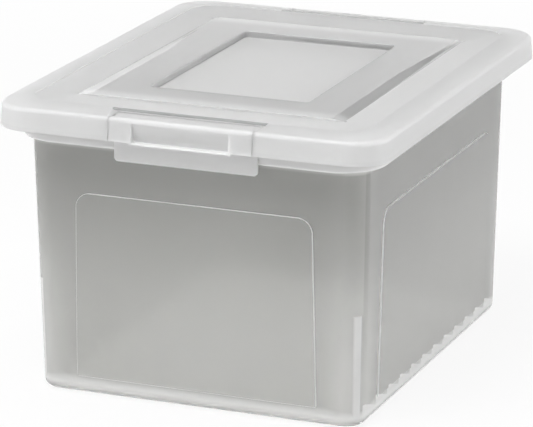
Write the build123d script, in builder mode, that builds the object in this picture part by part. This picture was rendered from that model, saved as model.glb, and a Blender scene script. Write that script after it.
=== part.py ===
"""Translucent plastic file box: a tapered open box and a lift-off lid with two sprung latches.

Units are millimetres. X runs across the short end, to the right. Y runs along the long
side, to the back. Z is up, and the origin is the centre of the base.
"""
import os

from build123d import *

# ---- box: overall sizes -------------------------------------------------------------
RIM_WIDTH = 335.4  # over the rim, across the short end
RIM_LENGTH = 405.6  # over the rim, along the long side
RIM_CORNER = 40.0  # outer corner radius of the rim
RIM_TOP = 248.5  # top edge of the rim, where the lid rests
RIM_EDGE_ROUND = 0.6
SHELF_EDGE_ROUND = 2.0
RIM_DROP = 16.2  # height of the rim band, down to the underside of its shelf
BOX_WALL = 2.4  # thickness of walls, floor, shelf and rim

# ---- box: walls and the rail that carries hanging folders ----------------------------
RAIL_INSET_SIDE = 10.3  # rim to the outer face of a long wall, at the rail
RAIL_INSET_END = 11.8  # rim to the outer face of a short wall, at the rail
RAIL_BELOW_RIM = 2.0  # the walls end this far below the rim, as the folder rail
TAPER_SIDE = 5.2  # how much each long wall leans in, from the rail to the base
TAPER_END = 4.0  # how much each short wall leans in
WALL_CORNER = 19.0  # upright corners of the walls
BASE_ROUND = 8.0  # rounded edge around the base

# ---- box: raised wall panels ---------------------------------------------------------
PANEL_RAISE = 1.1
PANEL_BOTTOM = 16.5
PANEL_TOP = 186.7
PANEL_CORNER = 14.0
PANEL_FOOT_CORNER = 2.0
PANEL_EDGE_ROUND = 0.8
END_PANEL_MARGIN_LOW = 39.0  # wall edge to panel edge, short walls, at the foot
END_PANEL_MARGIN_HIGH = 45.5  # the same at the top of the panel
SIDE_PANEL_MARGIN_LOW = 44.4
SIDE_PANEL_MARGIN_HIGH = 50.0

# ---- box: ribs inside the foot of the long walls -------------------------------------
RIB_PITCH = 29.0
RIB_THICKNESS = 1.8
RIB_REACH = 10.5  # how far a foot rib stands in from the wall
RIB_HEIGHT = 9.0  # above the floor
NEST_RIB_REACH_LOW = 9.6  # the last rib at each end is tall, to space nested boxes
NEST_RIB_REACH_HIGH = 6.6
NEST_RIB_HEIGHT = 95.0
RIB_END_MARGIN = 12.0  # least distance from the last rib to the end wall

# ---- lid: overall sizes --------------------------------------------------------------
LID_WALL = 2.2
OVERHANG_SIDE = 13.3  # skirt beyond the rim, at the lower edge of the skirt
OVERHANG_END = 15.7
LID_CORNER = 34.0
SKIRT_BELOW_RIM = 4.0  # lower edge of the skirt under the top of the rim
SKIRT_HEIGHT = 20.3
SKIRT_LEAN = 1.8  # how much the skirt leans in over its height
SKIRT_ROUND = 4.0  # rounded top edge of the skirt
SKIRT_ROUND_SHRINK = 0.8  # how much less the inside is rounded, for each mm of skin
CROWN_WIDTH = 22.2  # sloping rim of the lid, from the skirt to the crown
CROWN_RISE = 2.8
CROWN_FLAT = 1.2  # narrow flat along the crown
CROWN_STEP = 0.9  # step down just inside the crown, which locates a box stacked on top

# ---- lid: dished channel, raised middle and recess -----------------------------------
CHANNEL_SIDE = 32.1  # crown to the foot of the raised middle, at the sides
CHANNEL_END = 42.2
CHANNEL_FALL = 2.7  # the channel slopes down to the raised middle
CHANNEL_CORNER = 3.0
PLATEAU_RISE = 1.6
PLATEAU_BEVEL = 12.0  # width of the bevel along each side, at the front
BEVEL_TAIL = 30.3  # the last stretch of each bevel, at the back, is narrow and steep
BEVEL_NARROWING = 107.0  # and in the stretch before it the bevel narrows
BEVEL_END_WIDTH = 1.0
BEVEL_END_INSET = 4.0  # the foot of a bevel comes in this far by its end
RECESS_MARGIN_SIDE = 37.9  # edge of the raised middle to the recess
RECESS_MARGIN_END = 42.3
RECESS_DEPTH = 5.6
RECESS_CORNER = 4.0
RECESS_FOOT_ROUND = 1.2
RECESS_EDGE_ROUND = 0.5

# ---- lid: ribs that sit on and in the rim --------------------------------------------
PLUG_GAP = 0.4  # between the locating rib and the inside of the rim
PLUG_RIB = 2.0
PLUG_DEPTH = 6.5  # how far the locating rib reaches below the top of the rim
PAD_LENGTH = 20.0
PAD_SETBACK = 0.2  # the seat pads stop this far inside the rim's outer face
SIDE_PAD_PLACES = (-140.0, -47.0, 47.0, 140.0)
END_PAD_PLACES = (-100.0, 100.0)

# ---- latches -------------------------------------------------------------------------
LATCH_WIDTH = 132.8
LATCH_GAP = 0.35  # slit on each side of a latch
HINGE_GAP = 0.25  # slit behind a latch, at the living hinge
TROUGH_WIDTH = 144.4
HINGE_INSET = 22.9  # from the skirt's lower edge line in to the living hinge
TROUGH_DEPTH = 3.1  # step from the crown down to the hinge
TROUGH_FALL = 1.3  # further fall to the middle of the trough
TROUGH_MIDDLE = 9.6  # hinge to the middle of the trough
TROUGH_END = 17.2  # hinge to where the trough meets the crown slope again
TROUGH_RAMP = 7.0  # the trough runs out over this length at both ends
GRIP_WIDTH = 90.0
GRIP_DEPTH = 7.0  # the scooped face leans in this far over the ledge
GRIP_TOP = 3.4  # below the top edge of the skirt
LEDGE_DROP = 0.2  # top of the ledge below the lower edge of the skirt
LEDGE_WALL = 1.6
FLAP_GAP = 0.3  # between the flap and the rim
FLAP_BELOW_RIM = 9.0  # the flap ends this far below the shelf
FLAP_CORNER = 3.5

# ---- places worked out from the sizes ------------------------------------------------
rim_x = RIM_WIDTH / 2
rim_y = RIM_LENGTH / 2
shelf_bottom = RIM_TOP - RIM_DROP
shelf_top = shelf_bottom + BOX_WALL
rail_top = RIM_TOP - RAIL_BELOW_RIM
rail_x = rim_x - RAIL_INSET_SIDE
rail_y = rim_y - RAIL_INSET_END
base_x = rail_x - TAPER_SIDE
base_y = rail_y - TAPER_END

skirt_bottom = RIM_TOP - SKIRT_BELOW_RIM
edge_z = skirt_bottom + SKIRT_HEIGHT
crown_z = edge_z + CROWN_RISE
skirt_x = rim_x + OVERHANG_SIDE
skirt_y = rim_y + OVERHANG_END
edge_x = skirt_x - SKIRT_LEAN
edge_y = skirt_y - SKIRT_LEAN
edge_corner = LID_CORNER - SKIRT_LEAN
crown_x = edge_x - CROWN_WIDTH
crown_y = edge_y - CROWN_WIDTH
step_z = crown_z - CROWN_STEP
channel_z = step_z - CHANNEL_FALL
bevel_x = crown_x - CHANNEL_SIDE
plateau_x = bevel_x - PLATEAU_BEVEL
plateau_y = crown_y - CHANNEL_END
plateau_z = channel_z + PLATEAU_RISE
bevel_end_x = bevel_x - BEVEL_END_INSET
bevel_end_y = plateau_y - BEVEL_TAIL
bevel_bend_y = bevel_end_y - BEVEL_NARROWING
recess_x = plateau_x - RECESS_MARGIN_SIDE
recess_y = plateau_y - RECESS_MARGIN_END
plug_x = rim_x - BOX_WALL - PLUG_GAP
plug_y = rim_y - BOX_WALL - PLUG_GAP

hinge_y = skirt_y - HINGE_INSET
hinge_z = edge_z + CROWN_RISE * (edge_y - hinge_y) / CROWN_WIDTH - TROUGH_DEPTH
crown_corner = edge_corner - CROWN_WIDTH / 4
ledge_top = skirt_bottom - LEDGE_DROP
ledge_bottom = ledge_top - LEDGE_WALL
flap_y = rim_y + FLAP_GAP
flap_top = skirt_bottom + LID_WALL
flap_bottom = shelf_bottom - FLAP_BELOW_RIM

CUT_REACH = 30.0  # how far a cutting block runs past what it cuts
BURY = 0.5  # how far an added rib or pad runs into what carries it
NEAR = 0.01  # how close an edge must lie to a level to be found there


def wall_x(z):
    """Half the outer width of the walls at a height."""
    return base_x + TAPER_SIDE * z / rail_top


def wall_y(z):
    """Half the outer length of the walls at a height."""
    return base_y + TAPER_END * z / rail_top


def crown_slope(y):
    """Height of the lid's sloping rim, a distance y from the middle along the long side."""
    return edge_z + CROWN_RISE * (edge_y - y) / CROWN_WIDTH


def rounded_loft(levels):
    """A ruled solid through rounded rectangles, given as (z, half_x, half_y, corner)."""
    with BuildPart() as solid:
        for z, half_x, half_y, corner in levels:
            with BuildSketch(Plane.XY.offset(z)):
                RectangleRounded(2 * half_x, 2 * half_y, corner)
        loft(ruled=True)
    return solid.part


def wall_block(outset, bottom, top, rounded_foot=False):
    """The block inside the tapered walls, grown by outset, between two heights."""
    with BuildPart() as block:
        for plane, half, mode in (
            (Plane.XZ, wall_x, Mode.ADD), (Plane.YZ, wall_y, Mode.INTERSECT)
        ):
            low = half(bottom) + outset
            high = half(top) + outset
            with BuildSketch(plane):
                with BuildLine():
                    Polyline((-low, bottom), (low, bottom), (high, top), (-high, top), close=True)
                make_face()
            extrude(amount=rim_y, both=True, mode=mode)
        upright = [edge for edge in edges() if edge.bounding_box().size.Z > (top - bottom) / 2]
        fillet(upright, WALL_CORNER + outset)
        if rounded_foot:
            fillet(faces().sort_by(Axis.Z)[0].edges(), BASE_ROUND + outset)
    return block.part


def panel_block(plane, half_low, half_high, reach):
    """A slab through the box whose two ends are a pair of raised wall panels."""
    with BuildPart() as slab:
        add(wall_block(PANEL_RAISE, PANEL_BOTTOM - CUT_REACH / 2, rail_top))
        with BuildSketch(plane):
            with BuildLine():
                Polyline(
                    (-half_low, PANEL_BOTTOM), (half_low, PANEL_BOTTOM),
                    (half_high, PANEL_TOP), (-half_high, PANEL_TOP), close=True,
                )
            make_face()
            fillet(vertices().group_by(Axis.Y)[-1], PANEL_CORNER)
            fillet(vertices().group_by(Axis.Y)[0], PANEL_FOOT_CORNER)
        extrude(amount=reach, both=True, mode=Mode.INTERSECT)
        ends = faces().sort_by(Axis(plane.origin, plane.z_dir))
        fillet(ends[0].edges() + ends[-1].edges(), PANEL_EDGE_ROUND)
    return slab.part


# ---- the box -------------------------------------------------------------------------
end_panels = panel_block(
    Plane.XZ,
    wall_x(PANEL_BOTTOM) - END_PANEL_MARGIN_LOW,
    wall_x(PANEL_TOP) - END_PANEL_MARGIN_HIGH,
    rim_y,
)
side_panels = panel_block(
    Plane.YZ,
    wall_y(PANEL_BOTTOM) - SIDE_PANEL_MARGIN_LOW,
    wall_y(PANEL_TOP) - SIDE_PANEL_MARGIN_HIGH,
    rim_x,
)
walls = wall_block(0, 0, rail_top, rounded_foot=True)
hollow = wall_block(-BOX_WALL, BOX_WALL, rail_top, rounded_foot=True)

# The foot ribs stand across the long walls. They are cut off by the outside of the walls.
last_rib = int((base_y - RIB_END_MARGIN) / RIB_PITCH)
inner_x = base_x - BOX_WALL
with BuildPart() as ribs:
    for number in range(-last_rib, last_rib + 1):
        tall = abs(number) == last_rib
        reach_low = NEST_RIB_REACH_LOW if tall else RIB_REACH
        reach_high = NEST_RIB_REACH_HIGH if tall else RIB_REACH
        height = BOX_WALL + (NEST_RIB_HEIGHT if tall else RIB_HEIGHT)
        for side in (-1, 1):
            with BuildSketch(Plane.XZ.offset(-number * RIB_PITCH)):
                with BuildLine():
                    Polyline(
                        (side * (inner_x - reach_low), 0),
                        (side * (inner_x - reach_high), height),
                        (side * rail_x, height), (side * rail_x, 0), close=True,
                    )
                make_face()
            extrude(amount=RIB_THICKNESS / 2, both=True)
    add(wall_block(-BOX_WALL / 2, BOX_WALL / 2, rail_top, rounded_foot=True), mode=Mode.INTERSECT)

with BuildPart() as box_body:
    with BuildSketch(Plane.XY.offset(shelf_bottom)):
        RectangleRounded(RIM_WIDTH, RIM_LENGTH, RIM_CORNER)
    extrude(amount=RIM_DROP)
    fillet(faces().sort_by(Axis.Z)[0].edges(), SHELF_EDGE_ROUND)
    with BuildSketch(Plane.XY.offset(shelf_top)):
        RectangleRounded(
            RIM_WIDTH - 2 * BOX_WALL, RIM_LENGTH - 2 * BOX_WALL, RIM_CORNER - BOX_WALL
        )
    extrude(amount=RIM_DROP, mode=Mode.SUBTRACT)
    fillet(faces().sort_by(Axis.Z)[-1].edges(), RIM_EDGE_ROUND)
    add(walls)
    add(end_panels)
    add(side_panels)
    add(hollow, mode=Mode.SUBTRACT)
    add(ribs.part)
box_body.part.label = "box_body"


# ---- the lid and its latches ---------------------------------------------------------
def trough_block(skin):
    """What both troughs over the latches cut away, a skin deeper than the outer surface."""
    floor = hinge_z - TROUGH_FALL - skin
    top = crown_z + BURY
    run_out = TROUGH_RAMP / (TROUGH_DEPTH + TROUGH_FALL)
    half_low = TROUGH_WIDTH / 2 - TROUGH_RAMP + skin
    half_high = half_low + (top - floor) * run_out
    with BuildPart() as troughs:
        for end in (-1, 1):
            with BuildSketch(Plane.YZ):
                with BuildLine():
                    Polyline(
                        (end * (hinge_y - skin), hinge_z - skin),
                        (end * (hinge_y + TROUGH_MIDDLE), floor),
                        (end * (hinge_y + TROUGH_END), crown_slope(hinge_y + TROUGH_END) - skin),
                        (end * (hinge_y + TROUGH_END), top),
                        (end * (hinge_y - skin), top), close=True,
                    )
                make_face()
            extrude(amount=half_high, both=True)
        with BuildSketch(Plane.XZ):
            with BuildLine():
                Polyline(
                    (-half_low, floor), (half_low, floor), (half_high, top), (-half_high, top),
                    close=True,
                )
            make_face()
        extrude(amount=skirt_y, both=True, mode=Mode.INTERSECT)
    return troughs.part


def middle_outline(side_line):
    """A closed outline from the points down the right side of the raised middle."""
    return Polyline(*side_line, *[(-x, y) for x, y in reversed(side_line)], close=True)


def lid_block(skin, foot):
    """The block under the lid's top surface, or, with a skin, the space inside the lid.

    The skin is how far all its faces lie inside the outer surface, and foot is how far
    it runs on below the skirt.
    """
    with BuildPart() as block:
        add(rounded_loft([
            (skirt_bottom - foot, skirt_x - skin, skirt_y - skin, LID_CORNER - skin),
            (edge_z - skin, edge_x - skin, edge_y - skin, edge_corner - skin),
        ]))
        add(rounded_loft([
            (edge_z - skin, edge_x - skin, edge_y - skin, edge_corner - skin),
            (crown_z - skin, crown_x, crown_y, crown_corner),
        ]))
        fillet(
            edges().filter_by_position(Axis.Z, edge_z - skin - NEAR, edge_z - skin + NEAR),
            SKIRT_ROUND - skin * SKIRT_ROUND_SHRINK,
        )
        # the dished channel, up to the small step inside the crown
        step_x = crown_x - CROWN_FLAT + skin
        step_y = crown_y - CROWN_FLAT + skin
        step_corner = crown_corner - CROWN_FLAT + skin
        add(rounded_loft([
            (channel_z - skin, bevel_x, plateau_y, CHANNEL_CORNER),
            (step_z - skin, step_x, step_y, step_corner),
        ]), mode=Mode.SUBTRACT)
        with BuildSketch(Plane.XY.offset(step_z - skin)):
            RectangleRounded(2 * step_x, 2 * step_y, step_corner)
        extrude(amount=CUT_REACH, mode=Mode.SUBTRACT)
        # the raised middle, with a bevel down each side that narrows towards the back
        with BuildSketch(Plane.XY.offset(channel_z - skin)) as middle_foot:
            with BuildLine():
                middle_outline([
                    (bevel_x, -plateau_y), (bevel_x - BEVEL_END_INSET / 2, bevel_bend_y),
                    (bevel_end_x, bevel_end_y), (bevel_end_x, plateau_y),
                ])
            make_face()
        extrude(amount=-BURY)
        add(middle_foot.sketch)
        with BuildSketch(Plane.XY.offset(plateau_z - skin)):
            with BuildLine():
                middle_outline([
                    (plateau_x, -plateau_y), (plateau_x, bevel_bend_y),
                    (bevel_end_x - BEVEL_END_WIDTH, bevel_end_y),
                    (bevel_end_x - BEVEL_END_WIDTH, plateau_y),
                ])
            make_face()
        loft(ruled=True)
        with BuildSketch(Plane.XY.offset(plateau_z - RECESS_DEPTH - skin)):
            RectangleRounded(2 * (recess_x + skin), 2 * (recess_y + skin), RECESS_CORNER + skin)
        extrude(amount=CUT_REACH, mode=Mode.SUBTRACT)
        if skin == 0:
            at_foot = edges().filter_by_position(
                Axis.Z, plateau_z - RECESS_DEPTH - NEAR, plateau_z - RECESS_DEPTH + NEAR
            )
            fillet(at_foot, RECESS_FOOT_ROUND)
            at_edge = edges().filter_by_position(Axis.Z, plateau_z - NEAR, plateau_z + NEAR)
            fillet(
                at_edge.filter_by_position(Axis.X, -recess_x - NEAR, recess_x + NEAR)
                .filter_by_position(Axis.Y, -recess_y - NEAR, recess_y + NEAR),
                RECESS_EDGE_ROUND,
            )
        add(trough_block(skin), mode=Mode.SUBTRACT)
    return block.part


lid_outside = lid_block(0, 0)
lid_inside = lid_block(LID_WALL, LID_WALL)

# The locating rib drops inside the rim, and pads beside it rest on top of the rim.
with BuildPart() as lid_ribs:
    with BuildSketch(Plane.XY.offset(RIM_TOP - PLUG_DEPTH)):
        plug_corner = RIM_CORNER - BOX_WALL - PLUG_GAP
        RectangleRounded(2 * plug_x, 2 * plug_y, plug_corner)
        RectangleRounded(
            2 * (plug_x - PLUG_RIB), 2 * (plug_y - PLUG_RIB), plug_corner - PLUG_RIB,
            mode=Mode.SUBTRACT,
        )
    extrude(amount=crown_z - RIM_TOP + PLUG_DEPTH)
    with BuildSketch(Plane.XY.offset(RIM_TOP)):
        pad_depth = rim_x - PAD_SETBACK - plug_x + BURY
        for side in (-1, 1):
            with Locations(*[(side * (plug_x - BURY + pad_depth / 2), y) for y in SIDE_PAD_PLACES]):
                Rectangle(pad_depth, PAD_LENGTH)
            with Locations(*[(x, side * (plug_y - BURY + pad_depth / 2)) for x in END_PAD_PLACES]):
                Rectangle(PAD_LENGTH, pad_depth)
    extrude(amount=crown_z - RIM_TOP)
    add(lid_block(LID_WALL / 2, PLUG_DEPTH), mode=Mode.INTERSECT)

with BuildPart() as lid:
    add(lid_outside)
    add(lid_inside, mode=Mode.SUBTRACT)
    add(lid_ribs.part)
    with BuildSketch(Plane.XY.offset(flap_bottom)):
        notch_depth = skirt_y - hinge_y + CUT_REACH
        with Locations((0, hinge_y + notch_depth / 2), (0, -hinge_y - notch_depth / 2)):
            Rectangle(LATCH_WIDTH + 2 * LATCH_GAP, notch_depth)
    extrude(amount=crown_z, mode=Mode.SUBTRACT)
lid.part.label = "lid"

# The latch is the tongue of lid between two slits, with a scooped grip and a flap.
with BuildPart() as grip_backing:
    grip_top = edge_z - GRIP_TOP
    scoop_y = skirt_y - GRIP_DEPTH
    with BuildSketch(Plane.YZ):
        with BuildLine():
            Polyline(
                (-skirt_y, ledge_bottom), (-(scoop_y - LID_WALL), ledge_bottom),
                (-(edge_y - LID_WALL), grip_top + LID_WALL), (-skirt_y, grip_top + LID_WALL),
                close=True,
            )
        make_face()
    extrude(amount=GRIP_WIDTH / 2 + LID_WALL, both=True)
    # cheeks at both ends, and the ledge that joins the face to the flap
    with BuildSketch(Plane.XY.offset(skirt_bottom)):
        with Locations((0, -(skirt_y + flap_y) / 2)):
            Rectangle(LATCH_WIDTH, skirt_y - flap_y)
            Rectangle(LATCH_WIDTH - 2 * LID_WALL, skirt_y - flap_y, mode=Mode.SUBTRACT)
    extrude(amount=crown_z - skirt_bottom)
    with BuildSketch(Plane.XY.offset(skirt_bottom)):
        with Locations((0, -(skirt_y + flap_y) / 2)):
            Rectangle(LATCH_WIDTH, skirt_y - flap_y)
    extrude(amount=LID_WALL)
    with BuildSketch(Plane.XY.offset(ledge_bottom)):
        with Locations((0, -(skirt_y + flap_y) / 2)):
            Rectangle(GRIP_WIDTH, skirt_y - flap_y)
    extrude(amount=skirt_bottom - ledge_bottom)
    add(lid_block(LID_WALL / 4, skirt_bottom - ledge_bottom), mode=Mode.INTERSECT)

with BuildPart() as latch_front:
    add(lid_outside)
    add(lid_inside, mode=Mode.SUBTRACT)
    with BuildSketch(Plane.XY.offset(skirt_bottom)):
        tongue_back = hinge_y + HINGE_GAP
        with Locations((0, -(skirt_y + tongue_back) / 2)):
            Rectangle(LATCH_WIDTH, skirt_y - tongue_back)
    extrude(amount=crown_z - skirt_bottom, mode=Mode.INTERSECT)
    add(grip_backing.part)
    with BuildSketch(Plane.YZ):
        with BuildLine():
            Polyline(
                (-(skirt_y + BURY), ledge_top), (-scoop_y, ledge_top),
                (-edge_y, grip_top), (-(skirt_y + BURY), grip_top), close=True,
            )
        make_face()
    extrude(amount=GRIP_WIDTH / 2, both=True, mode=Mode.SUBTRACT)
    with BuildSketch(Plane.XZ.offset(flap_y)):
        with Locations((0, (flap_bottom + flap_top) / 2)):
            Rectangle(LATCH_WIDTH, flap_top - flap_bottom)
        fillet(vertices().group_by(Axis.Y)[0], FLAP_CORNER)
    extrude(amount=LID_WALL)
latch_front.part.label = "latch_front"

with BuildPart() as latch_back:
    mirror(latch_front.part, about=Plane.XZ)
latch_back.part.label = "latch_back"

# ---- write each piece ----------------------------------------------------------------
os.makedirs("parts", exist_ok=True)
export_step(box_body.part, "parts/box_body.step")
export_step(lid.part, "parts/lid.step")
export_step(latch_front.part, "parts/latch_front.step")
export_step(latch_back.part, "parts/latch_back.step")
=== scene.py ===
# %% [markdown]
# # A translucent file box
# This lesson dresses a moulded plastic file box: an open box, a lift-off lid and a latch in each
# short end of the lid. All of it is thin, milky polypropylene, so the light inside the plastic
# matters more than its colour. The shapes come from the CAD frame and stay as they are. The cells
# below add a camera, a small studio and the plastics, and say which face takes which finish.

# %% Load the frame
import bmesh
import bpy
import math
from mathutils import Matrix, Vector


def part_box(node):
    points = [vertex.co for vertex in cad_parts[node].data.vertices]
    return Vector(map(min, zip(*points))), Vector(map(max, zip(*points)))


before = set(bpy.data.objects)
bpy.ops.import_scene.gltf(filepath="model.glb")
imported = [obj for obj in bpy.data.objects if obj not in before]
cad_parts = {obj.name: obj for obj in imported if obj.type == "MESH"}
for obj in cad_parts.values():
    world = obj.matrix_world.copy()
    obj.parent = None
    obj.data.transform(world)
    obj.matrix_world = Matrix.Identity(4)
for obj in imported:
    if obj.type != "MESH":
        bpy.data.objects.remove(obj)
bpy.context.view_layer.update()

print("nodes:", sorted(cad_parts))

# %% [markdown]
# ## Camera
# A long lens from far away keeps the upright edges nearly parallel, which suits a box. One way to
# place a camera is to type its location and rotation. Here it is placed by two angles and a
# distance around a point near the middle of the box, because those are easy to picture: it stands
# to the right of the front, a little above the lid. A small roll and shift frame the box.

# %% Which way the camera looks
AZIMUTH = math.radians(22.364)
ELEVATION = math.radians(16.578)
ROLL = math.radians(-0.133)

across = Vector((math.cos(AZIMUTH), math.sin(AZIMUTH), 0))
backward = Vector((
    math.sin(AZIMUTH) * math.cos(ELEVATION),
    -math.cos(AZIMUTH) * math.cos(ELEVATION),
    math.sin(ELEVATION),
))
upward = backward.cross(across)
rolled_across = across * math.cos(ROLL) + upward * math.sin(ROLL)
rolled_up = upward * math.cos(ROLL) - across * math.sin(ROLL)
print("the camera looks along", [round(-v, 3) for v in backward])

# %% Lens
FRAME_WIDTH = 533
FOCAL_PIXELS = 3567.44
SHIFT_PIXELS = (11.786, -4.776)
SENSOR_WIDTH = 36
FARTHEST = 50

lens = bpy.data.cameras.new("camera")
lens.sensor_width = SENSOR_WIDTH
lens.lens = FOCAL_PIXELS / FRAME_WIDTH * SENSOR_WIDTH
lens.shift_x, lens.shift_y = (shift / FRAME_WIDTH for shift in SHIFT_PIXELS)
lens.clip_end = FARTHEST
print("a", round(lens.lens), "mm lens")

# %% Place
DISTANCE = 3.248101
AIM_ACROSS = -0.018983
AIM_HEIGHT = 0.131121

camera = bpy.data.objects.new("camera", lens)
bpy.context.scene.collection.objects.link(camera)
turn = Matrix((rolled_across, rolled_up, backward)).transposed().to_4x4()
place = across * AIM_ACROSS + Vector((0, 0, AIM_HEIGHT)) + backward * DISTANCE
camera.matrix_world = Matrix.Translation(place) @ turn
bpy.context.scene.camera = camera
print("camera at", [round(v, 3) for v in place])

# %% [markdown]
# ## Plain colour transform
# Blender's default view transform bends colours like film. A pale grey plastic is easier to judge
# when a grey of 0.8 is shown as 0.8, so the plain Standard transform is chosen.

# %% Plain colour transform
bpy.context.scene.view_settings.view_transform = "Standard"
print("view transform:", bpy.context.scene.view_settings.view_transform)


# %% [markdown]
# ## Building node trees in code
# Every material below is a small node tree, and trees are tedious to write link by link. These
# helpers each add one node and return its output, so a finish reads like arithmetic. In the
# editor the same nodes are Math, Map Range, Noise Texture and Texture Coordinate.

# %% Add a node, link it, do sums with it
def link(tree, output, socket):
    tree.links.new(output, socket)


def new_node(tree, kind, **values):
    node = tree.nodes.new(kind)
    for name, value in values.items():
        setattr(node, name, value)
    return node


def maths(tree, operation, *terms):
    """One Math node. A term is a number or another node's output."""
    node = new_node(tree, "ShaderNodeMath", operation=operation)
    for socket, term in zip(node.inputs, terms):
        if isinstance(term, (int, float)):
            socket.default_value = term
        else:
            link(tree, term, socket)
    return node.outputs[0]


print("helpers for sums are ready")


# %% Soft steps, and a blend of two values
def ramp(tree, value, start, end, low=0.0, high=1.0):
    """A soft step from low to high as value goes from start to end."""
    node = new_node(tree, "ShaderNodeMapRange", interpolation_type="SMOOTHSTEP")
    link(tree, value, node.inputs["Value"])
    for name, number in (("From Min", start), ("From Max", end), ("To Min", low), ("To Max", high)):
        node.inputs[name].default_value = number
    return node.outputs[0]


def fall(tree, value, start, end):
    """A soft step down from 1 to 0."""
    return ramp(tree, value, start, end, 1.0, 0.0)


def both(tree, first, *others):
    """1 only where all of them are 1."""
    for other in others:
        first = maths(tree, "MINIMUM", first, other)
    return first


def either(tree, first, *others):
    """1 where any of them is 1."""
    for other in others:
        first = maths(tree, "MAXIMUM", first, other)
    return first


def towards(tree, share, low, high):
    """low where share is 0 and high where it is 1."""
    rise = maths(tree, "SUBTRACT", high, low)
    return maths(tree, "ADD", low, maths(tree, "MULTIPLY", share, rise))


print("helpers for steps are ready")


# %% The place of a point on the piece, and noise that goes with it
def object_axes(tree):
    """A point's place in metres from the object's origin, as one vector and as X, Y and Z."""
    place = new_node(tree, "ShaderNodeTexCoord")
    axes = new_node(tree, "ShaderNodeSeparateXYZ")
    link(tree, place.outputs["Object"], axes.inputs[0])
    return place.outputs["Object"], axes.outputs


def size_of(tree, value):
    return maths(tree, "ABSOLUTE", value)


def noise(tree, place, scale, detail=2.0):
    node = new_node(tree, "ShaderNodeTexNoise")
    link(tree, place, node.inputs["Vector"])
    node.inputs["Scale"].default_value = scale
    node.inputs["Detail"].default_value = detail
    return node.outputs["Fac"]


print("helpers for place are ready")

# %% [markdown]
# ## Studio
# The box stands on white paper in a white studio. The backdrop could be lit until it burns out
# to white, but that light would wash out the pale plastic too. Instead the world and the paper
# look at what kind of ray asks. To the camera, to mirrored rays and to light that has passed
# through the plastic they show the white backdrop, and to all other light they are as bright as
# a real studio.
#
# The studio's own sky is bright near the horizon, dark above that and bright at the top. The
# lid's bevels mirror those bands, which gives one bevel its bright strip and the other its dark
# one. A mirrored ray therefore sees the white backdrop only low down, and the sky above it.

# %% World
SKY = ((0.0, 1.25), (0.2, 1.3), (0.3, 0.23), (0.42, 0.0), (0.65, 0.0), (1.0, 1.15))
SKY_BRIGHTEST = max(light for up, light in SKY)
BACKDROP_TOP = (0.08, 0.16)

world = bpy.data.worlds.new("studio")
bpy.context.scene.world = world
world.use_nodes = True
tree = world.node_tree
tree.nodes.clear()
direction = new_node(tree, "ShaderNodeTexCoord")
height = new_node(tree, "ShaderNodeSeparateXYZ")
link(tree, direction.outputs["Generated"], height.inputs[0])
bands = new_node(tree, "ShaderNodeValToRGB")
bands.color_ramp.interpolation = "EASE"
stops = bands.color_ramp.elements
while len(stops) < len(SKY):
    stops.new(1.0)
for stop, (up, light) in zip(stops, SKY):
    stop.position = up
    stop.color = (light / SKY_BRIGHTEST,) * 3 + (1,)
link(tree, height.outputs["Z"], bands.inputs["Fac"])
print("sky:", ", ".join(f"{light} at {up}" for up, light in SKY))

# %% A white backdrop
sky = new_node(tree, "ShaderNodeBackground")
sky.inputs["Strength"].default_value = SKY_BRIGHTEST
link(tree, bands.outputs[0], sky.inputs["Color"])
white = new_node(tree, "ShaderNodeBackground")
white.inputs["Strength"].default_value = 1
white.inputs["Color"].default_value = (1, 1, 1, 1)
ray = new_node(tree, "ShaderNodeLightPath")
mix = new_node(tree, "ShaderNodeMixShader")
low = fall(tree, height.outputs["Z"], *BACKDROP_TOP)
mirrored = both(tree, ray.outputs["Is Glossy Ray"], low)
seen = either(tree, ray.outputs["Is Camera Ray"], mirrored, ray.outputs["Is Transmission Ray"])
link(tree, seen, mix.inputs["Fac"])
link(tree, sky.outputs[0], mix.inputs[1])
link(tree, white.outputs[0], mix.inputs[2])
output = new_node(tree, "ShaderNodeOutputWorld")
link(tree, mix.outputs[0], output.inputs["Surface"])
print("world nodes:", len(tree.nodes))

# %% [markdown]
# ## Paper
# The floor is one large sheet. A sweep that curves up behind the box would hide its far edge from
# one side only, so the sheet is flat and its colour hides the edge from everywhere. If it glowed
# fully white near the box, the box would seem to float. There a part of the lit paper is kept,
# and with it the box's soft shadow, and further out the sheet glows fully.

# %% Floor
FLOOR_SIZE = 12
PAPER = 0.9
GLOW_NEAR = 0.88
GLOW_REACH = (0.5, 1.8)

form = bmesh.new()
bmesh.ops.create_grid(form, x_segments=1, y_segments=1, size=FLOOR_SIZE / 2)
sheet = bpy.data.meshes.new("floor")
form.to_mesh(sheet)
form.free()
floor = bpy.data.objects.new("floor", sheet)
bpy.context.scene.collection.objects.link(floor)
print("floor:", FLOOR_SIZE, "m square")

# %% White paper
paper = bpy.data.materials.new("white_paper")
paper.use_nodes = True
tree = paper.node_tree
tree.nodes.clear()
lit = new_node(tree, "ShaderNodeBsdfDiffuse")
lit.inputs["Color"].default_value = (PAPER, PAPER, PAPER, 1)
glow = new_node(tree, "ShaderNodeEmission")
glow.inputs["Strength"].default_value = 1
ray = new_node(tree, "ShaderNodeLightPath")
seen = either(tree, ray.outputs["Is Camera Ray"], ray.outputs["Is Glossy Ray"],
              ray.outputs["Is Transmission Ray"])
place, axes = object_axes(tree)
out = new_node(tree, "ShaderNodeVectorMath", operation="LENGTH")
link(tree, place, out.inputs[0])
share = ramp(tree, out.outputs["Value"], *GLOW_REACH, GLOW_NEAR, 1.0)
mix = new_node(tree, "ShaderNodeMixShader")
link(tree, maths(tree, "MULTIPLY", seen, share), mix.inputs["Fac"])
link(tree, lit.outputs[0], mix.inputs[1])
link(tree, glow.outputs[0], mix.inputs[2])
output = new_node(tree, "ShaderNodeOutputMaterial")
link(tree, mix.outputs[0], output.inputs["Surface"])
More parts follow.
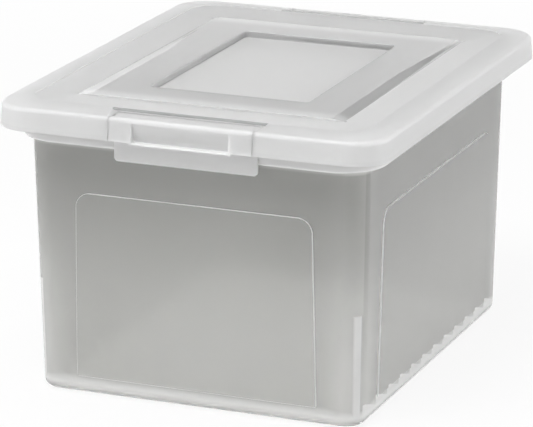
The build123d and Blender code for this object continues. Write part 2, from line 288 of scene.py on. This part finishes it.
floor.data.materials.append(paper)
print("paper glows", GLOW_NEAR, "near the box and fully from", GLOW_REACH[1], "m")


# %% [markdown]
# ## Lamps
# Smooth plastic could be lit by the sky alone, but it would look flat, and small lamps leave hard
# glints. Large soft ones shape it gently. The key hangs above and in front and lights the top and
# the front end, a weaker one at the right opens up the long wall, and two faint ones at the top
# and the left lift the rest.

# %% Softboxes
BOX_MIDDLE = Vector((0, 0, 0.15))


def softbox(name, place, size, watts):
    light = bpy.data.lights.new(name, "AREA")
    light.shape = "RECTANGLE"
    light.size, light.size_y = size
    light.energy = watts
    lamp = bpy.data.objects.new(name, light)
    lamp.location = place
    lamp.rotation_euler = (BOX_MIDDLE - lamp.location).to_track_quat("-Z", "Y").to_euler()
    bpy.context.scene.collection.objects.link(lamp)
    print(name, "lamp:", watts, "W")


softbox("key", (-0.3, -1.2, 2.3), (1.4, 1.0), 35)
softbox("top", (-0.2, 0.2, 2.4), (1.4, 1.4), 5.5)
softbox("left", (-2.4, -0.6, 0.9), (1.4, 1.0), 7)
softbox("right", (2.4, 0.9, 0.9), (1.2, 1.0), 19)

# %% [markdown]
# ## The plastic
# Polypropylene is milky. Three things happen to light in it: a share goes straight through
# (Transmission), the rest wanders inside the wall (Subsurface) and leaves it in any direction,
# and a little is reflected at the skin. Glass with a fog inside would be the true way to make it,
# but it is slow and noisy in walls this thin. One Principled shader mixes the three well enough.
#
# Moulded plastic is also never one flat grey. Its skin carries the fine grain of the mould, a
# bump too small to see as relief but enough to soften a reflection, and the melt cools unevenly,
# so the milkiness and the roughness drift slowly over a wall.

# %% Colour and skin
GRAIN_SCALE = 1400
GRAIN_DEPTH = 0.00002
GRAIN_DETAIL = 1.0
DRIFT_SCALE = 9
DRIFT_SHADE = 0.025
DRIFT_ROUGH = 0.04
DRIFT_SPREAD = (0.3, 0.7)  # where the noise is low and where it is high


def colour_in(tree, shader, drift, grey, tint):
    low = maths(tree, "SUBTRACT", grey, DRIFT_SHADE)
    grey = maths(tree, "ADD", low, maths(tree, "MULTIPLY", drift, 2 * DRIFT_SHADE))
    colour = new_node(tree, "ShaderNodeCombineColor")
    for channel, share in zip(colour.inputs, tint):
        link(tree, maths(tree, "MULTIPLY", grey, share), channel)
    link(tree, colour.outputs[0], shader.inputs["Base Color"])


def skin_in(tree, shader, place, drift, rough):
    rough = ramp(tree, drift, *DRIFT_SPREAD, rough - DRIFT_ROUGH, rough + DRIFT_ROUGH)
    link(tree, rough, shader.inputs["Roughness"])
    bump = new_node(tree, "ShaderNodeBump")
    bump.inputs["Distance"].default_value = GRAIN_DEPTH
    link(tree, noise(tree, place, GRAIN_SCALE, GRAIN_DETAIL), bump.inputs["Height"])
    link(tree, bump.outputs[0], shader.inputs["Normal"])


print("grain about", round(1 / GRAIN_SCALE, 4), "m apart")
print("drift about", round(1 / DRIFT_SCALE, 2), "m apart")

# %% The milky inside
ALIKE_IN_ALL_COLOURS = (1.0, 1.0, 1.0)
SCATTER_LENGTH = 0.01
PLASTIC_IOR = 1.49


def inside_in(shader):
    shader.inputs["IOR"].default_value = PLASTIC_IOR
    shader.inputs["Subsurface Weight"].default_value = 1
    shader.inputs["Subsurface Radius"].default_value = ALIKE_IN_ALL_COLOURS
    shader.inputs["Subsurface Scale"].default_value = SCATTER_LENGTH


print("light wanders about", SCATTER_LENGTH, "m inside the plastic")

# %% A whole plastic
COAT_ROUGH = 0.1


def worth(tree, axes, value):
    """A finish's value is a number, or a function of the place on the piece."""
    return value(tree, axes) if callable(value) else value


def plastic(name, shade, through, rough, coat=0.0, tint=ALIKE_IN_ALL_COLOURS):
    material = bpy.data.materials.new(name)
    material.use_nodes = True
    tree = material.node_tree
    shader = tree.nodes["Principled BSDF"]
    place, axes = object_axes(tree)
    drift = noise(tree, place, DRIFT_SCALE)
    colour_in(tree, shader, drift, worth(tree, axes, shade), tint)
    skin_in(tree, shader, place, drift, rough)
    inside_in(shader)
    shader.inputs["Coat Weight"].default_value = coat
    shader.inputs["Coat Roughness"].default_value = COAT_ROUGH
    if callable(through):
        link(tree, through(tree, axes), shader.inputs["Transmission Weight"])
    else:
        shader.inputs["Transmission Weight"].default_value = through
    print(name, "has", len(tree.nodes), "nodes")
    return material


print("a plastic needs a shade, a clearness and a roughness")

# %% [markdown]
# ## Where the box is thick, and where light is painted on it
# Milky plastic looks whiter where it is thick: the rim is doubled, the foot and the corners are
# round and thick, and ribs stand behind the walls. Those places are whitened, and the whitening is
# also painted light. The foot and the rim band are painted lighter as the table's light and the
# light on the rim make them, the corners as light that crosses them slantwise, and the wall in
# front of the ribs as the ribs that shine through it. Vertex paint could mark those places, but it
# needs a denser mesh than the CAD's. A mask worked out from the place on the box is sharp at any
# distance. The walls lean outwards, so the masks are drawn as seen at the foot: the first helper
# follows the leaning wall down.

# %% Corners, foot and rim
box_low, box_high = (Vector(corner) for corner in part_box("box_body"))
WALL_LEAN = (0.0211, 0.0162)
CORNER_REACH = (0.056, 0.016)
CORNER_FADE = (0.03, 0.17)
CORNER_SHARE = (0.50, 0.08)  # at the foot, and high up
FOOT_HEIGHT = (0.009, 0.020)
RIM_HEIGHT = (0.226, 0.234)


def from_foot(tree, axes):
    """How far out a point is across and along the box, followed down the leaning wall."""
    return [
        maths(tree, "SUBTRACT", size_of(tree, axes[axis]), maths(tree, "MULTIPLY", axes["Z"], lean))
        for axis, lean in zip("XY", WALL_LEAN)
    ]


# Painted light: the corners are whitened as light that crosses them slantwise, most strongly at the
# foot.
def upright_corners(tree, axes):
    start, full = CORNER_REACH
    near = both(
        tree,
        ramp(tree, size_of(tree, axes["X"]), box_high.x - start, box_high.x - full),
        ramp(tree, size_of(tree, axes["Y"]), box_high.y - start, box_high.y - full),
    )
    return maths(tree, "MULTIPLY", near, ramp(tree, axes["Z"], *CORNER_FADE, *CORNER_SHARE))


# Painted light: the foot is whitened as the table's light, and the doubled rim as the light on it.
def foot_and_rim(tree, axes):
    return either(tree, fall(tree, axes["Z"], *FOOT_HEIGHT), ramp(tree, axes["Z"], *RIM_HEIGHT))


print("box from", [round(v, 4) for v in box_low], "to", [round(v, 4) for v in box_high])

# %% [markdown]
# ## Ribs behind the long walls
# Low ribs stand inside the foot of each long wall, 29 mm apart. The real ones shine through the
# wall as a pale band with a stepped edge, because each is seen slantwise and hides the next. Here
# the ribs are solid too, but almost no light reaches them through two milky walls. Clear glass
# walls would show them, and would lose the milkiness. So their light is painted on the wall in
# front of them as a pale stepped band: a Fraction node repeats one tooth at the ribs' pitch, which
# starts at a rib and climbs.

# %% Teeth along the foot
LONG_WALL = (0.1500, 0.1508)
RIB_PITCH = 0.0290
RIB_HALF = 0.0009
LAST_RIB = 0.1755
TOOTH_LENGTH = 0.0255
TOOTH_LOW = 0.0114
TOOTH_RISE = 0.0082
TOOTH_EDGE = 0.0005
TEETH_END = 0.001


# Painted light: a pale band with a stepped top edge, where the ribs would shine through the wall.
def painted_rib_teeth(tree, axes, across, along):
    back = maths(tree, "SUBTRACT", -RIB_HALF, axes["Y"])
    step = maths(tree, "FRACT", maths(tree, "DIVIDE", back, RIB_PITCH))
    climb = maths(tree, "MINIMUM", maths(tree, "MULTIPLY", step, RIB_PITCH / TOOTH_LENGTH), 1)
    edge = maths(tree, "ADD", maths(tree, "MULTIPLY", climb, TOOTH_RISE), TOOTH_LOW)
    above = maths(tree, "SUBTRACT", axes["Z"], edge)
    return both(
        tree, fall(tree, above, -TOOTH_EDGE, TOOTH_EDGE), ramp(tree, across, *LONG_WALL),
        fall(tree, along, LAST_RIB - TEETH_END, LAST_RIB),
    )


print("teeth from", TOOTH_LOW, "to", round(TOOTH_LOW + TOOTH_RISE, 4), "m above the table")

# %% [markdown]
# ## Tall ribs in the corners
# The last rib at each end is taller, and keeps nested boxes apart. It stands close behind the
# rounded corner and shows as one pale upright bar. That bar of light is painted on the wall for the
# same reason as the teeth, and the four masks then join into one.

# %% Bars in the corners
TALL_RIB_START = (0.1425, 0.1462)
TALL_RIB_END = (0.1494, 0.1500)
TALL_RIB_ALONG = (0.1720, 0.1740)
TALL_RIB_TOP = (0.1010, 0.1035)


# Painted light: a pale upright bar on each corner, where the tall rib would shine through.
def painted_tall_rib_bars(tree, axes, across, along):
    return both(
        tree, ramp(tree, across, *TALL_RIB_START), fall(tree, across, *TALL_RIB_END),
        ramp(tree, along, *TALL_RIB_ALONG), fall(tree, axes["Z"], *TALL_RIB_TOP),
    )


def thick_and_painted_light(tree, axes):
    """1 where the box is whitened for thick or doubled plastic and as painted light, 0 on a plain
    wall.
    """
    across, along = from_foot(tree, axes)
    return either(
        tree, upright_corners(tree, axes), foot_and_rim(tree, axes),
        painted_tall_rib_bars(tree, axes, across, along), painted_rib_teeth(tree, axes, across, along),
    )


print("bars up to", TALL_RIB_TOP[1], "m above the table")

# %% [markdown]
# ## The box's plastic
# A plain wall is half clear, so the dim inside of the box shows through it as grey. Its grey is
# painted darker towards the top, as the shade under the overhanging lid, and the long walls are
# painted a little darker than the ends. Where the plastic is thick it is dense, and it is painted
# white, partly for the thick plastic and partly as painted light. The round edge of the foot is the
# exception: it stands on the bright table, whose light shines in.
# A material for each zone would change hard at the mesh's edges. One material that blends by the
# masks has no such seams.

# %% Finish of the box
# Painted shade: the wall goes from the first grey low down to the darker second grey near the top.
WALL_SHADE = (0.67, 0.50)  # low and high on the wall
PAINTED_SHADE_HEIGHT = (0.06, 0.225)
# Painted shade: the long walls take this share of the wall's grey.
LONG_WALL_PAINTED_SHADE = 0.79
# The white of thick plastic and of painted light.
THICK_PAINTED_LIGHT_SHADE = 0.98
WALL_THROUGH = 0.5
THICK_THROUGH = 0.12
FOOT_THROUGH = 0.74
FOOT_EDGE = (0.003, 0.010)
WARM = (1.0, 1.0, 0.97)
BOX_ROUGH = 0.10


def box_shade(tree, axes):
    across, along = from_foot(tree, axes)
    # Painted shade: the wall darkens towards the top.
    wall = ramp(tree, axes["Z"], *PAINTED_SHADE_HEIGHT, *WALL_SHADE)
    # Painted shade: the long walls are a little darker than the ends.
    wall = maths(tree, "MULTIPLY", wall, ramp(tree, across, *LONG_WALL, 1.0, LONG_WALL_PAINTED_SHADE))
    return towards(tree, thick_and_painted_light(tree, axes), wall, THICK_PAINTED_LIGHT_SHADE)


def box_through(tree, axes):
    wall = towards(tree, thick_and_painted_light(tree, axes), WALL_THROUGH, THICK_THROUGH)
    shine = ramp(tree, axes["Z"], *FOOT_EDGE, FOOT_THROUGH - THICK_THROUGH, 0.0)
    return maths(tree, "ADD", wall, shine)


box_plastic = plastic("box_plastic", box_shade, box_through, BOX_ROUGH, tint=WARM)
# Painted highlight and painted light: a dense white plastic for the panel steps and the ribs.
painted_light_plastic = plastic("painted_light_plastic", shade=0.97, through=0.1, rough=0.4)

# %% [markdown]
# ## The lid's plastic
# The lid is denser and whiter than the walls. Two marks are painted on it as shade. The lower half
# of the skirt hangs past the rim of the box and is painted darker, as the shaded rim behind it
# shows through. Each latch bends at a step down from the top of the lid, and the upper part of that
# step's wall is painted dark. Both could be materials of their own, but a soft mask blends them in.

# %% Finish of the lid
LID_SHADE = 0.93
LID_THROUGH = 0.28
LID_ROUGH = 0.4
# Painted shade of the lower skirt.
LOW_SKIRT_PAINTED_SHADE = 0.90
LOW_SKIRT = (0.2478, 0.2486)
SKIRT_HEM = (0.2404, 0.2412)
# Painted shade on the latch's step wall.
HINGE_PAINTED_SHADE = 0.38
HINGE_BACK = (0.1930, 0.1935)
HINGE_FRONT = (0.1957, 0.1961)
HINGE_ENDS = (0.0710, 0.0725)
HINGE_LOW = (0.2653, 0.2661)


# Painted shade: the skirt below the box's rim is darker.
def painted_skirt_shade(tree, axes):
    return both(tree, ramp(tree, axes["Z"], *SKIRT_HEM), fall(tree, axes["Z"], *LOW_SKIRT))


# Painted shade: the upper part of each latch's step wall is dark.
def painted_hinge_shade(tree, axes):
    along = size_of(tree, axes["Y"])
    return both(
        tree, ramp(tree, along, *HINGE_BACK), fall(tree, along, *HINGE_FRONT),
        fall(tree, size_of(tree, axes["X"]), *HINGE_ENDS), ramp(tree, axes["Z"], *HINGE_LOW),
    )


# The lid's grey, with painted shade on the lower skirt and on the hinge step.
def lid_shade(tree, axes):
    skirt = towards(tree, painted_skirt_shade(tree, axes), LID_SHADE, LOW_SKIRT_PAINTED_SHADE)
    return towards(tree, painted_hinge_shade(tree, axes), skirt, HINGE_PAINTED_SHADE)


lid_plastic = plastic("lid_plastic", lid_shade, LID_THROUGH, LID_ROUGH)
# Painted light: the latches are a lighter, denser copy of the lid's plastic, standing in for more
# light on their front faces.
latch_plastic_painted_lighter = plastic("latch_plastic_painted_lighter", shade=0.97, through=0.12, rough=0.35)

# %% [markdown]
# ## The polished middle of the lid
# The mould is polished under the lid's raised middle, so there the plastic is clearer and darker
# and mirrors the studio. A low Roughness would polish it too, but would also sharpen all that is
# seen through it. A clear Coat on top only adds the mirror. Towards the front and back ends of
# the middle the clearness fades into the lid's own milkiness.

# %% Finish of the raised middle
POLISHED_SHADE = 0.70
POLISHED_THROUGH = 0.75
POLISHED_ROUGH = 0.35
POLISHED_END = (0.130, 0.147)


def near_end(tree, axes):
    return ramp(tree, size_of(tree, axes["Y"]), *POLISHED_END)


def polished_shade(tree, axes):
    return towards(tree, near_end(tree, axes), POLISHED_SHADE, LID_SHADE)


def polished_through(tree, axes):
    return towards(tree, near_end(tree, axes), POLISHED_THROUGH, LID_THROUGH)


lid_polished = plastic("lid_polished", polished_shade, polished_through, POLISHED_ROUGH, coat=1.0)


# %% [markdown]
# ## Which faces take which finish
# The CAD pieces stay as they are: a face only changes its material number. The lid needs two
# finishes. Its faces could be picked by hand, but a rule on where they lie and which way they
# face still holds when the mesh is made again.

# %% Give a piece its materials
def dress(node, *materials):
    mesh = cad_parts[node].data
    mesh.materials.clear()
    for material in materials:
        mesh.materials.append(material)
    print(node, "wears", [material.name for material in materials])
    return mesh


# %% Which faces of the lid are polished
MIDDLE = (0.1265, 0.1525)
RECESS = (0.0745, 0.1095)
END_STEP = 0.15
CHANNEL_TOP = 0.2600
RECESS_TOP = 0.2612
FLAT = 0.9
STEEP = 0.5
UNDERSIDE = -0.2


def is_polished(face):
    """The raised middle, its bevels and the recess walls, but not its ends or the recess floor."""
    centre, normal = face.center, face.normal
    in_middle = abs(centre.x) < MIDDLE[0] and abs(centre.y) < MIDDLE[1]
    in_recess = abs(centre.x) < RECESS[0] and abs(centre.y) < RECESS[1]
    if normal.z < UNDERSIDE or centre.z < CHANNEL_TOP or not in_middle:
        return False
    recess_floor = normal.z > FLAT and centre.z < RECESS_TOP and in_recess
    end_step = abs(normal.y) > STEEP and abs(centre.y) > END_STEP
    return not recess_floor and not end_step


print("polished within", MIDDLE, "m of the lid's middle")

# %% Dress the lid and its latches
lid_mesh = dress("lid", lid_plastic, lid_polished)
for face in lid_mesh.polygons:
    face.material_index = int(is_polished(face))
dress("latch_front", latch_plastic_painted_lighter)
dress("latch_back", latch_plastic_painted_lighter)
print("polished faces:", sum(face.material_index for face in lid_mesh.polygons))

# %% [markdown]
# ## Steps and ribs of the box
# The step round each raised panel catches the light as a thin white line, and that highlight is
# painted on the step's own faces. The ribs are painted white all through, as the light they gather.
# A mask would have to be thinner than a hair to hit the step, so here the faces themselves are
# found. A step is any face on the outside of a wall that isn't square with it, and a rib is any
# face near the foot that lies on the ribs' pitch. Both take the dense white plastic of painted
# light.

# %% Which faces are the step of a panel
WALL_FOOT = (0.1522, 0.1870)
PANEL_HALF = (0.130, 0.155)
PANEL_HEIGHT = (0.010, 0.190)
SQUARE_ON = 0.97
SKIN = 0.0002


def is_panel_step(face):
    """A face on the outside of a wall that isn't square with the wall."""
    centre, normal = face.center, face.normal
    if not PANEL_HEIGHT[0] < centre.z < PANEL_HEIGHT[1]:
        return False
    end = abs(centre.y) > WALL_FOOT[1] + WALL_LEAN[1] * centre.z - SKIN
    side = abs(centre.x) > WALL_FOOT[0] + WALL_LEAN[0] * centre.z - SKIN
    if end and abs(centre.x) < PANEL_HALF[0]:
        return abs(normal.y) < SQUARE_ON
    return side and abs(centre.y) < PANEL_HALF[1] and abs(normal.x) < SQUARE_ON


print("panels up to", PANEL_HEIGHT[1], "m above the table")

# %% Which faces are a rib
RIB_ROOT = 0.1498
RIB_REACH = 0.0110
RIB_TOP = 0.0980
FLOOR_TOP = 0.0026


def is_rib(face):
    """A face of a blade that stands in from a long wall."""
    centre = face.center
    reach = RIB_ROOT + WALL_LEAN[0] * centre.z - abs(centre.x)
    pitches = centre.y / RIB_PITCH
    off_rib = abs(pitches - round(pitches)) * RIB_PITCH
    low_enough = FLOOR_TOP < centre.z < RIB_TOP and abs(centre.y) < LAST_RIB
    return low_enough and SKIN < reach < RIB_REACH and off_rib < RIB_HALF + SKIN


print("ribs reach", RIB_REACH, "m in from the long walls")

# %% Dress the box
# Panel steps take a painted highlight, and ribs painted light.
box_mesh = dress("box_body", box_plastic, painted_light_plastic)
for face in box_mesh.polygons:
    face.material_index = int(is_panel_step(face) or is_rib(face))
print("white faces:", sum(face.material_index for face in box_mesh.polygons))
